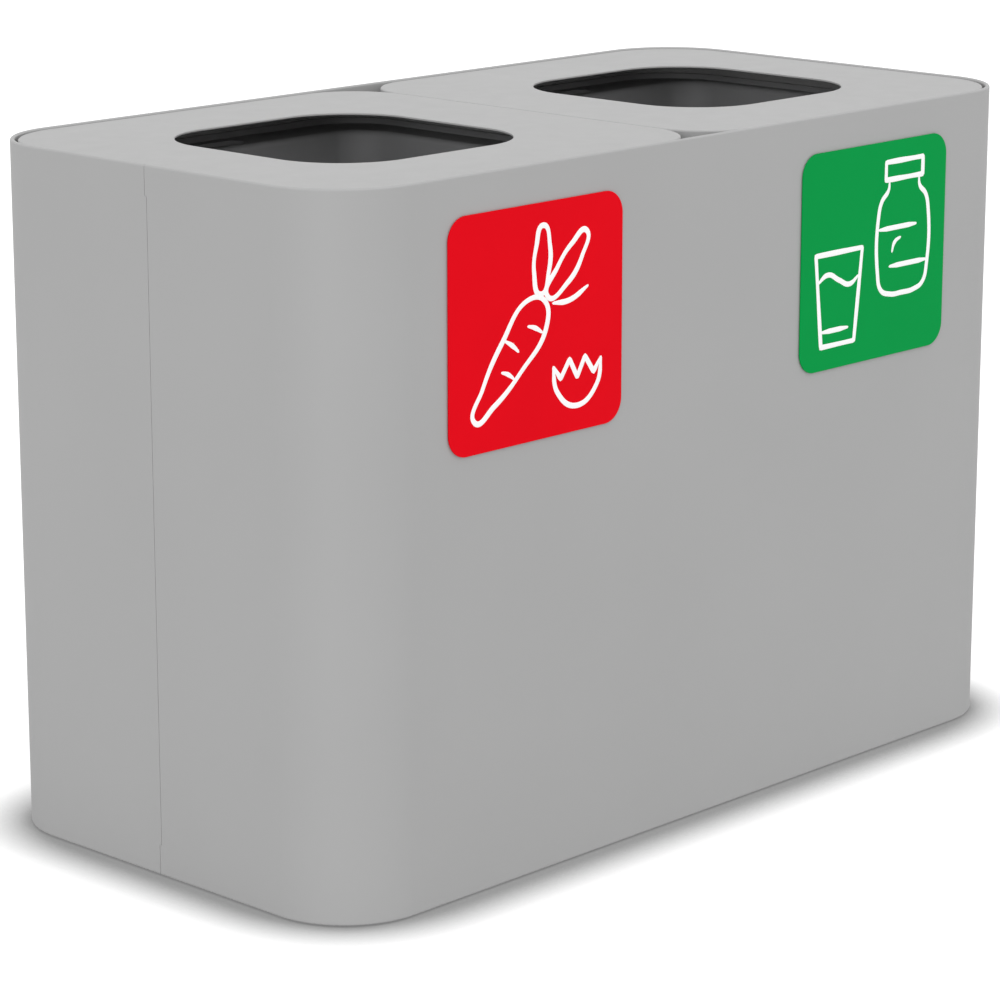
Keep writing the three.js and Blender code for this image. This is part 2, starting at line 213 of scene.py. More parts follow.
def zincFinish(name, look):
    made = Finish(name, look["color"], metallic=1.0)
    spangle = made.tree.nodes.new("ShaderNodeTexVoronoi")
    spangle.inputs["Scale"].default_value = look["spangleScale"]
    made.link(made.place, spangle, "Vector")
    worn = made.spread(spangle.outputs["Distance"], *look["roughness"])
    made.link(worn, made.shader, "Roughness")
    stretch = made.tree.nodes.new("ShaderNodeMapping")
    stretch.inputs["Scale"].default_value = look["scratchScale"]
    made.link(made.place, stretch, "Vector")
    scratches = made.noise(1.0, place=stretch.outputs["Vector"])
    made.relief(scratches, spangle.outputs["Distance"], look["bump"], look["bumpDepth"])
    return made.material


finishes = {
    "paint": grainedFinish("greyPowderCoat", paintLook),
    "plastic": grainedFinish("darkGrainedPlastic", plasticLook),
    "rubber": grainedFinish("blackRubber", rubberLook),
    "red": grainedFinish("redPrintedFilm", filmLook, filmColors["red"]),
    "green": grainedFinish("greenPrintedFilm", filmLook, filmColors["green"]),
    "white": grainedFinish("whiteInk", {**filmLook, "gloss": inkGloss}, filmColors["white"]),
    "zinc": zincFinish("zincPlate", zincLook),
}
print("finishes mixed")

# Shared mesh and node tools
mergeReach = 1e-7  # points closer than this are one
smoothLook = {"angle": 32, "inkAngle": 60}
bevelLook = {"edge": 0.0003, "screwEdge": 0.0002, "segments": 2, "angle": 35}


def addObject(name, mesh, finish=None):
    piece = bpy.data.objects.new(name, mesh)
    scene.collection.objects.link(piece)
    if finish:
        mesh.materials.clear()
        mesh.materials.append(finish)
    return piece


def newMesh(name, points, faces=(), edges=()):
    mesh = bpy.data.meshes.new(name)
    mesh.from_pydata(points, edges, faces)
    mesh.update()
    return mesh


def polyline(name, points, closed):
    # A line of mesh edges, which a node tree reads as a curve.
    count = len(points)
    last = count if closed else count - 1
    edges = [(i, (i + 1) % count) for i in range(last)]
    return addObject(name, newMesh(name, points, edges=edges))


def roundedRing(outline, inset, z, steps):
    # A rounded rectangle drawn in by an inset, as one ring of points at a height.
    middleX, middleY, halfX, halfY, lowCorner, highCorner = outline
    corners = (
        (1, -1, -quarter, highCorner),
        (1, 1, 0, highCorner),
        (-1, 1, quarter, lowCorner),
        (-1, -1, math.pi, lowCorner),
    )
    points = []
    for sideX, sideY, start, corner in corners:
        centreX = middleX + sideX * (halfX - corner)
        centreY = middleY + sideY * (halfY - corner)
        radius = corner - inset
        for step in range(steps + 1):
            angle = start + quarter * step / steps
            x = centreX + radius * math.cos(angle)
            y = centreY + radius * math.sin(angle)
            points.append((x, y, z))
    return points


def bend(inset, z, radius, start, end, steps):
    # Part of an edge rounding as (inset, z): quarter 0 faces out, 1 up, 2 in and 3 down.
    points = []
    for step in range(steps + 1):
        angle = quarter * (start + (end - start) * step / steps)
        points.append((inset - radius * math.cos(angle), z + radius * math.sin(angle)))
    return points


def lofted(name, rings, closed):
    # Rings joined in order into one closed skin.
    count = len(rings[0])
    points = [point for ring in rings for point in ring]
    bands = len(rings) if closed else len(rings) - 1
    faces = []
    for band in range(bands):
        low = band * count
        high = (band + 1) % len(rings) * count
        for i in range(count):
            following = (i + 1) % count
            faces.append((low + i, low + following, high + following, high + i))
    if not closed:
        faces.append(tuple(reversed(range(count))))
        faces.append(tuple(range(len(points) - count, len(points))))
    return newMesh(name, points, faces)


def faceOut(mesh):
    shape = bmesh.new()
    shape.from_mesh(mesh)
    bmesh.ops.remove_doubles(shape, verts=shape.verts, dist=mergeReach)
    bmesh.ops.recalc_face_normals(shape, faces=shape.faces)
    shape.to_mesh(mesh)
    shape.free()


def smoothOff(piece, angle=smoothLook["angle"]):
    # Smooth shading with crisp folds, and flat panels that stay flat.
    faceOut(piece.data)
    piece.data.shade_smooth()
    piece.data.set_sharp_from_angle(angle=math.radians(angle))
    even = piece.modifiers.new("evenPanels", "WEIGHTED_NORMAL")
    even.keep_sharp = True


def finishPiece(piece, body, slot, *replaced):
    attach(piece, body)
    if replaced:
        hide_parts(*replaced)


def resultOf(piece):
    # What the piece's modifiers make of it, as a plain mesh.
    evaluated = piece.evaluated_get(bpy.context.evaluated_depsgraph_get())
    return bpy.data.meshes.new_from_object(evaluated)


def settle(piece):
    mesh = resultOf(piece)
    mesh.name = piece.name
    piece.modifiers.clear()
    piece.data = mesh


class Tree:
    # A geometry node tree with named inputs.
    def __init__(self, name, inputs):
        self.group = bpy.data.node_groups.new(name, "GeometryNodeTree")
        face = self.group.interface
        face.new_socket("Geometry", in_out="OUTPUT", socket_type="NodeSocketGeometry")
        face.new_socket("Geometry", in_out="INPUT", socket_type="NodeSocketGeometry")
        self.identifiers = {}
        for label, kind in inputs.items():
            socket = face.new_socket(label, in_out="INPUT", socket_type="NodeSocket" + kind)
            self.identifiers[label] = socket.identifier
        self.inlet = self.group.nodes.new("NodeGroupInput")
        self.outlet = self.group.nodes.new("NodeGroupOutput")

    def given(self, label):
        return self.inlet.outputs[label]

    def add(self, kind, settings=None, **links):
        # A link's keyword is the input's name, with underscores for spaces.
        node = self.group.nodes.new(kind)
        for key, value in (settings or {}).items():
            if hasattr(node, key):
                setattr(node, key, value)
            else:
                node.inputs[key].default_value = value
        for key, start in links.items():
            self.group.links.new(start, node.inputs[key.replace("_", " ")])
        return node

    def math(self, operation, first, second=0.0):
        node = self.group.nodes.new("ShaderNodeMath")
        node.operation = operation
        for index, value in enumerate((first, second)):
            if isinstance(value, (int, float)):
                node.inputs[index].default_value = value
            else:
                self.group.links.new(value, node.inputs[index])
        return node.outputs[0]

    def finish(self, geometry, label="Finish"):
        real = self.add("GeometryNodeRealizeInstances", Geometry=geometry)
        painted = self.add(
            "GeometryNodeSetMaterial", Geometry=real.outputs[0], Material=self.given(label)
        )
        self.group.links.new(painted.outputs[0], self.outlet.inputs[0])

    def give(self, piece, **values):
        modifier = piece.modifiers.new(self.group.name, "NODES")
        modifier.node_group = self.group
        for label, value in values.items():
            modifier[self.identifiers[label.replace("_", " ")]] = value

    def apply(self, piece, **values):
        self.give(piece, **values)
        settle(piece)


def softened(node, name, finish, slot, edge=bevelLook["edge"]):
    # A copy of a sheet or turned part with its edges broken, as deburred metal has.
    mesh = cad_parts[node].data.copy()
    mesh.name = name
    piece = addObject(name, mesh, finish)
    faceOut(mesh)
    bevel = piece.modifiers.new("brokenEdges", "BEVEL")
    bevel.width = edge
    bevel.segments = bevelLook["segments"]
    bevel.limit_method = "ANGLE"
    bevel.angle_limit = math.radians(bevelLook["angle"])
    bevel.use_clamp_overlap = True
    settle(piece)
    smoothOff(piece)
    finishPiece(piece, "cabinet", slot, node)


print("tools ready")

# Wrapped shells with folded hems
shellLook = {
    "cornerRadius": 0.058,
    "sheet": 0.0012,
    "hemWidth": 0.003,
    "hemRadius": 0.0014,
    "topHem": 0.019,
    "bottomHem": 0.020,
    "seamStep": 0.0016,  # the hems are cut this far behind the wall
    "stepHeight": 0.0004,
    "seamReach": 1e-5,  # points this near the seam belong to the cut end
    "cornerSteps": 40,
    "hemSteps": 7,
}
frontLow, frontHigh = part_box("front_shell")
rearLow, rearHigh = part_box("rear_shell")
middleY = (frontLow.y + rearHigh.y) / 2
rimHeight = frontHigh.z
bottomHeight = frontLow.z
topHemEnd = rimHeight - shellLook["topHem"]
bottomHemEnd = bottomHeight + shellLook["bottomHem"]


def shellTree():
    # Sweeps the folded sheet's section along the wrap and steps its cut ends at the hems.
    tree = Tree(
        "wrappedSheet",
        {
            "Section": "Object",
            "Top hem end": "Float",
            "Bottom hem end": "Float",
            "Seam place": "Float",
            "Seam step": "Float",
            "Finish": "Material",
        },
    )
    wrap = tree.add("GeometryNodeMeshToCurve", Mesh=tree.given("Geometry"))
    upright = tree.add("GeometryNodeSetCurveNormal", {"mode": "Z_UP"}, Curve=wrap.outputs[0])
    section = tree.add("GeometryNodeObjectInfo", Object=tree.given("Section"))
    outline = tree.add("GeometryNodeMeshToCurve", Mesh=section.outputs["Geometry"])
    swept = tree.add(
        "GeometryNodeCurveToMesh", Curve=upright.outputs[0], Profile_Curve=outline.outputs[0]
    )
    place = tree.add("GeometryNodeInputPosition")
    parts = tree.add("ShaderNodeSeparateXYZ", Vector=place.outputs[0])
    above = tree.math("GREATER_THAN", parts.outputs["Z"], tree.given("Top hem end"))
    below = tree.math("LESS_THAN", parts.outputs["Z"], tree.given("Bottom hem end"))
    inHem = tree.math("ADD", above, below)
    away = tree.math("SUBTRACT", parts.outputs["Y"], tree.given("Seam place"))
    atSeam = tree.math("LESS_THAN", tree.math("ABSOLUTE", away), shellLook["seamReach"])
    chosen = tree.math("MULTIPLY", inHem, atSeam)
    shift = tree.add("ShaderNodeCombineXYZ", Y=tree.given("Seam step"))
    stepped = tree.add(
        "GeometryNodeSetPosition",
        Geometry=swept.outputs[0],
        Selection=chosen,
        Offset=shift.outputs[0],
    )
    tree.finish(stepped.outputs[0])
    return tree


def shellSection(look):
    # The folded sheet as (inwards, down), which the sweep stands upright.
    sheet = look["sheet"]
    width = look["hemWidth"]
    radius = look["hemRadius"]
    steps = look["hemSteps"]
    fold = width - radius
    legFace = width - sheet
    half = look["stepHeight"] / 2
    jogs = [bottomHemEnd - half, bottomHemEnd + half, topHemEnd - half, topHemEnd + half]
    section = [(0, z) for z in jogs]
    section += bend(radius, rimHeight - radius, radius, 0, 1, steps)
    section += bend(fold, rimHeight - radius, radius, 1, 2, steps)
    section += [(width, topHemEnd), (legFace, topHemEnd)]
    section += [(legFace, rimHeight - sheet), (sheet, rimHeight - sheet)]
    section += [(sheet, z) for z in reversed(jogs)]
    section += [(sheet, bottomHeight + sheet), (legFace, bottomHeight + sheet)]
    section += [(legFace, bottomHemEnd), (width, bottomHemEnd)]
    section += bend(fold, bottomHeight + radius, radius, 2, 3, steps)
    section += bend(radius, bottomHeight + radius, radius, 3, 4, steps)
    return [(inwards, -z, 0) for inwards, z in section]


def endTiles(look):
    # Flat faces that close the sheet's cut end, as places in the section: four outer points,
    # the top hem's bends and leg, four inner points, the bottom hem's leg and bends.
    bends = 2 * (look["hemSteps"] + 1)
    inner = 4 + bends + 4
    last = inner + 4 + 4 + bends
    return [
        (1, 2, inner + 1, inner + 2),
        (2, 3, inner, inner + 1),
        (0, 1, inner + 2, inner + 3),
        (*range(3, inner + 1),),
        (0, *range(inner + 3, last)),
    ]


def closeEnds(piece, count, tiles):
    shape = bmesh.new()
    shape.from_mesh(piece.data)
    shape.verts.ensure_lookup_table()
    for first in (0, len(shape.verts) - count):
        for tile in tiles:
            shape.faces.new([shape.verts[first + i] for i in tile])
    shape.to_mesh(piece.data)
    shape.free()


def shellWrap(look, side, seam):
    # Half of the cabinet's outline at floor level, from one seam to the other.
    radius = look["cornerRadius"]
    steps = look["cornerSteps"]
    faceY = middleY + side * (rearHigh.y - frontLow.y) / 2
    points = [(frontHigh.x, seam, 0)]
    for end, start in ((1, 0), (-1, quarter)):
        centreX = end * (frontHigh.x - radius)
        centreY = faceY - side * radius
        for step in range(steps + 1):
            angle = start + quarter * step / steps
            x = centreX + radius * math.cos(angle)
            y = centreY + side * radius * math.sin(angle)
            points.append((x, y, 0))
    points.append((frontLow.x, seam, 0))
    return points if side < 0 else points[::-1]


wrappedSheet = shellTree()
section = shellSection(shellLook)
sectionLine = polyline("sectionLine", section, True)
for name, node, side, seam in (
    ("frontShell", "front_shell", -1, frontHigh.y - shellLook["seamStep"]),
    ("rearShell", "rear_shell", 1, rearLow.y),
):
    shell = polyline(name, shellWrap(shellLook, side, seam), False)
    wrappedSheet.apply(
        shell,
        Section=sectionLine,
        Top_hem_end=topHemEnd,
        Bottom_hem_end=bottomHemEnd,
        Seam_place=seam,
        Seam_step=shellLook["seamStep"],
        Finish=finishes["paint"],
    )
    closeEnds(shell, len(section), endTiles(shellLook))
    smoothOff(shell)
    finishPiece(shell, "cabinet", "cabinet_paint", node)
bpy.data.objects.remove(sectionLine)
print("shells wrapped")

# Sheet parts inside the cabinet, feet and screws
for node in (
    "left_seam_strip",
    "right_seam_strip",
    "front_ledge",
    "rear_ledge",
    "cross_rail",
    "base_pan",
):
    softened(node, node + "_metal", finishes["paint"], "cabinet_paint")
for corner in ("front_left", "front_right", "rear_left", "rear_right"):
    softened("foot_" + corner, "rubber_foot_" + corner, finishes["rubber"], "foot_rubber")
    softened(
        "foot_screw_" + corner,
        "zinc_screw_" + corner,
        finishes["zinc"],
        "bare_steel",
        bevelLook["screwEdge"],
    )
print("inner metal and feet done")

# Spot welds
weldLook = {"segments": 14, "rings": 8}
stripWelds = {"count": 9, "margin": 0.03, "column": 0.0125, "size": (0.00025, 0.0024, 0.0024)}
barWelds = {"count": 10, "margin": 0.02, "size": (0.007, 0.001, 0.0012)}


def weldTree():
    # A row of low round marks from one place to the next.
    tree = Tree(
        "weldRow",
        {
            "Count": "Int",
            "Start": "Vector",
            "Pitch": "Vector",
            "Size": "Vector",
            "Finish": "Material",
        },
    )
    row = tree.add(
        "GeometryNodeMeshLine",
        {"count_mode": "TOTAL"},
        Count=tree.given("Count"),
        Start_Location=tree.given("Start"),
        Offset=tree.given("Pitch"),
    )
    mark = tree.add(
        "GeometryNodeMeshUVSphere",
        {"Segments": weldLook["segments"], "Rings": weldLook["rings"], "Radius": 1.0},
    )
    marks = tree.add(
        "GeometryNodeInstanceOnPoints",
        Points=row.outputs[0],
        Instance=mark.outputs[0],
        Scale=tree.given("Size"),
    )
    joined = tree.add("GeometryNodeJoinGeometry")
    tree.group.links.new(marks.outputs[0], joined.inputs[0])
    tree.group.links.new(tree.given("Geometry"), joined.inputs[0])
    tree.finish(joined.outputs[0])
    return tree


weldRow = weldTree()
weldMarks = addObject("weld_marks", newMesh("weld_marks", []), finishes["paint"])


def addWelds(start, end, look):
    pitch = (Vector(end) - Vector(start)) / (look["count"] - 1)
    weldRow.apply(
        weldMarks,
        Count=look["count"],
        Start=start,
        Pitch=tuple(pitch),
        Size=look["size"],
        Finish=finishes["paint"],
    )


for node, side in (("left_seam_strip", -1), ("right_seam_strip", 1)):
    low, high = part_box(node)
    face = low.x if side > 0 else high.x
    for column in (-stripWelds["column"], stripWelds["column"]):
        y = (low.y + high.y) / 2 + column
        start = (face, y, low.z + stripWelds["margin"])
        end = (face, y, high.z - stripWelds["margin"])
        addWelds(start, end, stripWelds)
for node, side in (("front_ledge", -1), ("rear_ledge", 1)):
    low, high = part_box(node)
    y = low.y if side < 0 else high.y
    start = (low.x + barWelds["margin"], y, low.z)
    end = (high.x - barWelds["margin"], y, low.z)
    addWelds(start, end, barWelds)
smoothOff(weldMarks)
finishPiece(weldMarks, "cabinet", "cabinet_paint")
print("weld marks set")

# Lids
lidLook = {
    "sheet": 0.0015,
    "edgeRadius": 0.0012,
    "outerCorner": 0.056,
    "jointCorner": 0.044,
    "holeSize": 0.181,
    "holeCorner": 0.052,
    "holeEdge": 0.0004,
    "cornerSteps": 28,
    "edgeSteps": 6,
}
compartmentMiddle = (frontHigh.x - frontLow.x) / 4


def sideOutline(low, high, jointCorner, outerCorner):
    # The rounded rectangle around a box, with its joint corners towards the middle of the bin.
    middleX = (low.x + high.x) / 2
    corners = (jointCorner, outerCorner) if middleX > 0 else (outerCorner, jointCorner)
    halfX = (high.x - low.x) / 2
    halfY = (high.y - low.y) / 2
    return (middleX, (low.y + high.y) / 2, halfX, halfY, *corners)


def lidMesh(name, node, side):
    look = lidLook
    low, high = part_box(node)
    steps = look["cornerSteps"]
    outer = sideOutline(low, high, look["jointCorner"], look["outerCorner"])
    half = look["holeSize"] / 2
    corner = look["holeCorner"]
    hole = (side * compartmentMiddle, middleY, half, half, corner, corner)
    radius = look["edgeRadius"]
    sheet = look["sheet"]
    under = high.z - sheet
    inner = [(sheet, low.z), (sheet, under - radius)]
    inner += bend(sheet + radius, under - radius, radius, 0, 1, look["edgeSteps"])[1:]
    outside = [(0, low.z)] + bend(radius, high.z - radius, radius, 0, 1, look["edgeSteps"])
    edge = look["holeEdge"]
    between = edge / 3
    holeSide = [(-edge, high.z), (-between, high.z - between), (0, high.z - edge)]
    holeSide += [(0, under + edge), (-edge, under)]
    rings = [roundedRing(outer, inset, z, steps) for inset, z in outside]
    rings += [roundedRing(hole, inset, z, steps) for inset, z in holeSide]
    rings += [roundedRing(outer, inset, z, steps) for inset, z in reversed(inner)]
    return lofted(name, rings, True)


for name, node, side in (("leftLid", "left_lid", -1), ("rightLid", "right_lid", 1)):
    lid = addObject(name, lidMesh(name, node, side), finishes["paint"])
    smoothOff(lid)
    finishPiece(lid, node, "lid_paint", node)
print("lids pressed")

# Inner buckets
bucketLook = {
    "flangeSheet": 0.003,
    "flangeEdge": 0.0008,
    "ridgeHeight": 0.004,
    "ridgeWidth": 0.0024,
    "ridgeInset": 0.0022,
    "ridgeEdge": 0.0005,
    "jointWidth": 0.0272,
    "endWidth": 0.0115,
    "sideWidth": 0.0345,
    "tubCorner": 0.027,
    "wall": 0.0025,
    "taper": 0.009,
    "mouthRadius": 0.004,
    "footRadius": 0.009,
    "footRing": 0.012,
    "footRecess": 0.0025,
    "slotLength": 0.092,
    "slotWidth": 0.016,
    "slotOffset": 0.004,
    "slotEndShort": 1e-5,  # keeps the slot's round ends just short of a half circle
    "cornerSteps": 20,
    "edgeSteps": 6,
    "slotSteps": 14,
}
webLook = {
    "thickness": 0.0024,
    "reach": 0.015,
    "depth": 0.026,
    "near": 0.072,
    "pitch": 0.036,
    "overlap": 0.0005,  # into the flange above it
}


def tubBox(node):
    # Middle and half sizes of the tub inside its flange.
    look = bucketLook
    low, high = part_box(node)
    side = 1 if low.x + high.x > 0 else -1
    joint = min(abs(low.x), abs(high.x)) + look["jointWidth"]
    outer = max(abs(low.x), abs(high.x)) - look["endWidth"]
    middle = Vector((side * (joint + outer) / 2, (low.y + high.y) / 2, low.z))
    return middle, (outer - joint) / 2, (high.y - low.y) / 2 - look["sideWidth"]


def bucketMesh(name, node):
    look = bucketLook
    low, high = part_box(node)
    flangeTop = high.z - look["ridgeHeight"]
    flangeUnder = flangeTop - look["flangeSheet"]
    foot = low.z
    middle, halfX, halfY = tubBox(node)
    corner = look["tubCorner"]
    tub = (middle.x, middle.y, halfX, halfY, corner, corner)
    rim = sideOutline(low, high, lidLook["jointCorner"], lidLook["outerCorner"])
    steps = look["edgeSteps"]
    fewSteps = steps // 2
    wall = look["wall"]
    recess = look["footRecess"]

    def drawIn(z):
        return look["taper"] * (flangeUnder - z) / (flangeUnder - foot)

    footBend = foot + look["footRadius"]
    footInset = drawIn(footBend)
    innerRadius = look["footRadius"] - wall
    floorBend = foot + recess + wall + innerRadius
    innerInset = drawIn(floorBend) + wall
    below = [(footInset + look["footRing"] + recess, foot + recess)]
    below += [(footInset + look["footRing"], foot)]
    below += bend(footInset + look["footRadius"], footBend, look["footRadius"], 3, 4, steps)
    below += [(0, flangeUnder)]
    edge = look["flangeEdge"]
    flange = bend(edge, flangeUnder + edge, edge, -1, 0, fewSteps)
    flange += bend(edge, flangeTop - edge, edge, 0, 1, fewSteps)
    ridgeOut = look["ridgeInset"]
    ridgeIn = ridgeOut + look["ridgeWidth"]
    soft = look["ridgeEdge"]
    flange += [(ridgeOut, flangeTop)]
    flange += bend(ridgeOut + soft, high.z - soft, soft, 0, 1, fewSteps)
    flange += bend(ridgeIn - soft, high.z - soft, soft, 1, 2, fewSteps)
    flange += [(ridgeIn, flangeTop)]
    mouth = look["mouthRadius"]
    inside = bend(wall - mouth, flangeTop - mouth, mouth, 1, 2, steps)
    inside += bend(innerInset + innerRadius, floorBend, innerRadius, 4, 3, steps)
    count = look["cornerSteps"]
    rings = [roundedRing(tub, inset, z, count) for inset, z in below]
    rings += [roundedRing(rim, inset, z, count) for inset, z in flange]
    rings += [roundedRing(tub, inset, z, count) for inset, z in inside]
    return lofted(name, rings, False)


def slotCutter(node, side):
    look = bucketLook
    low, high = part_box(node)
    middle, halfX, halfY = tubBox(node)
    radius = look["slotWidth"] / 2
    y = middle.y + side * (halfY + look["slotOffset"] + radius)
    corner = radius - look["slotEndShort"]
    outline = (middle.x, y, look["slotLength"] / 2, radius, corner, corner)
    steps = look["slotSteps"]
    top = high.z + look["ridgeHeight"]
    bottom = high.z - look["ridgeHeight"] - 2 * look["flangeSheet"]
    rings = [roundedRing(outline, 0, z, steps) for z in (bottom, top)]
    cutter = addObject("slotCutter", lofted("slotCutter", rings, False))
    faceOut(cutter.data)
    return cutter


def webTree():
    # Stands webs in mirrored pairs along both long sides of the tub.
    tree = Tree(
        "webPairs",
        {
            "Near": "Float",
            "Pitch": "Float",
            "Side": "Float",
            "Centre": "Vector",
            "Finish": "Material",
        },
    )
    rows = tree.add("GeometryNodeJoinGeometry")
    for turn in (0, math.pi):
        for mirror in (1, -1):
            x = tree.math("MULTIPLY", tree.given("Near"), float(mirror))
            start = tree.add("ShaderNodeCombineXYZ", X=x, Y=tree.given("Side"))
            stride = tree.math("MULTIPLY", tree.given("Pitch"), float(mirror))
            offset = tree.add("ShaderNodeCombineXYZ", X=stride)
            row = tree.add(
                "GeometryNodeMeshLine",
                {"count_mode": "TOTAL", "Count": 2},
                Start_Location=start.outputs[0],
                Offset=offset.outputs[0],
            )
            webs = tree.add(
                "GeometryNodeInstanceOnPoints",
                Points=row.outputs[0],
                Instance=tree.given("Geometry"),
            )
            turned = tree.add(
                "GeometryNodeTransform",
                {"Rotation": (0, 0, turn)},
                Geometry=webs.outputs[0],
                Translation=tree.given("Centre"),
            )
            tree.group.links.new(turned.outputs[0], rows.inputs[0])
    tree.finish(rows.outputs[0])
    return tree


def webMesh(name, flangeUnder, tubHeight):
    # One web, drawn from the tub's wall (y = 0) out to its reach.
    look = webLook
    sunk = bucketLook["wall"] / 2
    lean = bucketLook["taper"] * look["depth"] / tubHeight
    profile = [
        (-sunk, flangeUnder + look["overlap"]),
        (look["reach"], flangeUnder + look["overlap"]),
        (look["reach"], flangeUnder - bucketLook["flangeSheet"]),
        (-lean, flangeUnder - look["depth"]),
        (-sunk - lean, flangeUnder - look["depth"]),
    ]
    half = look["thickness"] / 2
    points = [(x, y, z) for x in (-half, half) for y, z in profile]
    count = len(profile)
    faces = [tuple(range(count)), tuple(reversed(range(count, 2 * count)))]
    for i in range(count):
        following = (i + 1) % count
        faces.append((i, i + count, following + count, following))
    return newMesh(name, points, faces)


webPairs = webTree()
for name, node in (("leftBucket", "left_bucket"), ("rightBucket", "right_bucket")):
    bucket = addObject(name, bucketMesh(name, node), finishes["plastic"])
    faceOut(bucket.data)
    cutters = [slotCutter(node, side) for side in (-1, 1)]
    for cutter in cutters:
        slotCut = bucket.modifiers.new("handSlot", "BOOLEAN")
        slotCut.operation = "DIFFERENCE"
        slotCut.solver = "EXACT"
        slotCut.object = cutter
    settle(bucket)
    for cutter in cutters:
        bpy.data.objects.remove(cutter)
    smoothOff(bucket)
    finishPiece(bucket, node, "bucket_plastic", node)
    low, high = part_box(node)
    middle, halfX, halfY = tubBox(node)
    flangeUnder = high.z - bucketLook["ridgeHeight"] - bucketLook["flangeSheet"]
    webName = name + "Webs"
    webs = addObject(webName, webMesh(webName, flangeUnder, flangeUnder - low.z))
    webPairs.apply(
        webs,
        Near=webLook["near"],
        Pitch=webLook["pitch"],
        Side=halfY,
        Centre=(middle.x, middle.y, 0),
        Finish=finishes["plastic"],
    )
    smoothOff(webs)
    finishPiece(webs, node, "bucket_plastic")
print("buckets moulded")

# Sign plates and their pictograms
plateLook = {"corner": 0.015, "edge": 0.00025, "edgeShare": 0.3, "cornerSteps": 20}
inkLook = {
    "width": 0.0035,
    "swell": 0.10,  # how much a closed line's width comes and goes
    "swells": 3,
    "taper": 0.009,  # open ends thin out over this length
    "tip": 0.45,  # width left at the tip, as a share
    "bluntness": 0.001,  # keeps the very end of a line from closing to a point
    "height": 0.00012,
    "step": 0.0008,
    "sides": 12,
    "curveSteps": 24,
}


def plateMesh(name, node):
    # A flat plate with soft edges, built lying down and stood up against the front face.
    low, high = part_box(node)
    halfX = (high.x - low.x) / 2
    halfZ = (high.z - low.z) / 2
    corner = plateLook["corner"]
    edge = plateLook["edge"]
    outline = ((low.x + high.x) / 2, (low.z + high.z) / 2, halfX, halfZ, corner, corner)
    between = edge * plateLook["edgeShare"]
    levels = [(edge, high.y), (0, high.y - edge), (0, low.y + edge)]
    levels += [(between, low.y + between), (edge, low.y)]
    rings = []
    for inset, y in levels:
        ring = roundedRing(outline, inset, y, plateLook["cornerSteps"])
        rings.append([(x, level, z) for x, z, level in ring])
    return lofted(name, rings, False)


def inkTree():
    # Sweeps round-ended strokes along the drawn lines and flattens them onto the plate.
    tree = Tree(
        "inkStrokes",
        {
            "Stroke width": "Float",
            "Swell": "Float",
            "Taper": "Float",
            "Tip": "Float",
            "Ink height": "Float",
            "Step": "Float",
            "Place": "Vector",
            "Finish": "Material",
        },
    )
    fine = tree.add(
        "GeometryNodeResampleCurve",
        {"mode": "LENGTH"},
        Curve=tree.given("Geometry"),
        Length=tree.given("Step"),
    )
    radius = tree.math("MULTIPLY", tree.given("Stroke width"), 0.5)
    along = tree.add("GeometryNodeSplineParameter")
    whole = tree.add("GeometryNodeSplineLength")
    remaining = tree.math("SUBTRACT", whole.outputs["Length"], along.outputs["Length"])
    toEnd = tree.math("MINIMUM", along.outputs["Length"], remaining)
    # An open line ends round, and thins out towards its tips.
    share = tree.math("MINIMUM", tree.math("DIVIDE", toEnd, radius), 1.0)
    fall = tree.math("SUBTRACT", 1.0, share)
    square = tree.math("MULTIPLY", fall, fall)
    rounded = tree.math("SQRT", tree.math("SUBTRACT", 1 + inkLook["bluntness"], square))
    thinned = tree.math("MINIMUM", tree.math("DIVIDE", toEnd, tree.given("Taper")), 1.0)
    rest = tree.math("SUBTRACT", 1.0, tree.given("Tip"))
    thinned = tree.math("ADD", tree.given("Tip"), tree.math("MULTIPLY", thinned, rest))
    openWidth = tree.math("MULTIPLY", rounded, thinned)
    # A closed line swells a little, a few times on its way round.
    turns = tree.math("MULTIPLY", along.outputs["Factor"], 2 * math.pi * inkLook["swells"])
    wave = tree.math("MULTIPLY", tree.math("SINE", turns), tree.given("Swell"))
    closedWidth = tree.math("ADD", 1.0, wave)
    cyclic = tree.add("GeometryNodeInputSplineCyclic")
    extra = tree.math("SUBTRACT", closedWidth, openWidth)
    width = tree.math("ADD", openWidth, tree.math("MULTIPLY", extra, cyclic.outputs[0]))
    circle = tree.add("GeometryNodeCurvePrimitiveCircle", {"Resolution": inkLook["sides"]})
    circle.inputs["Radius"].default_value = 1.0
    swept = tree.add(
        "GeometryNodeCurveToMesh",
        {"Fill Caps": True},
        Curve=fine.outputs[0],
        Profile_Curve=circle.outputs[0],
        Scale=tree.math("MULTIPLY", width, radius),
    )
    place = tree.add("GeometryNodeInputPosition")
    parts = tree.add("ShaderNodeSeparateXYZ", Vector=place.outputs[0])
    squeeze = tree.math("DIVIDE", tree.given("Ink height"), radius)
    depth = tree.math("MULTIPLY", parts.outputs["Y"], squeeze)
    flat = tree.add(
        "ShaderNodeCombineXYZ", X=parts.outputs["X"], Y=depth, Z=parts.outputs["Z"]
    )
    pressed = tree.add(
        "GeometryNodeSetPosition", Geometry=swept.outputs[0], Position=flat.outputs[0]
    )
    moved = tree.add(
        "GeometryNodeTransform", Geometry=pressed.outputs[0], Translation=tree.given("Place")
    )
    tree.finish(moved.outputs[0])
    return tree


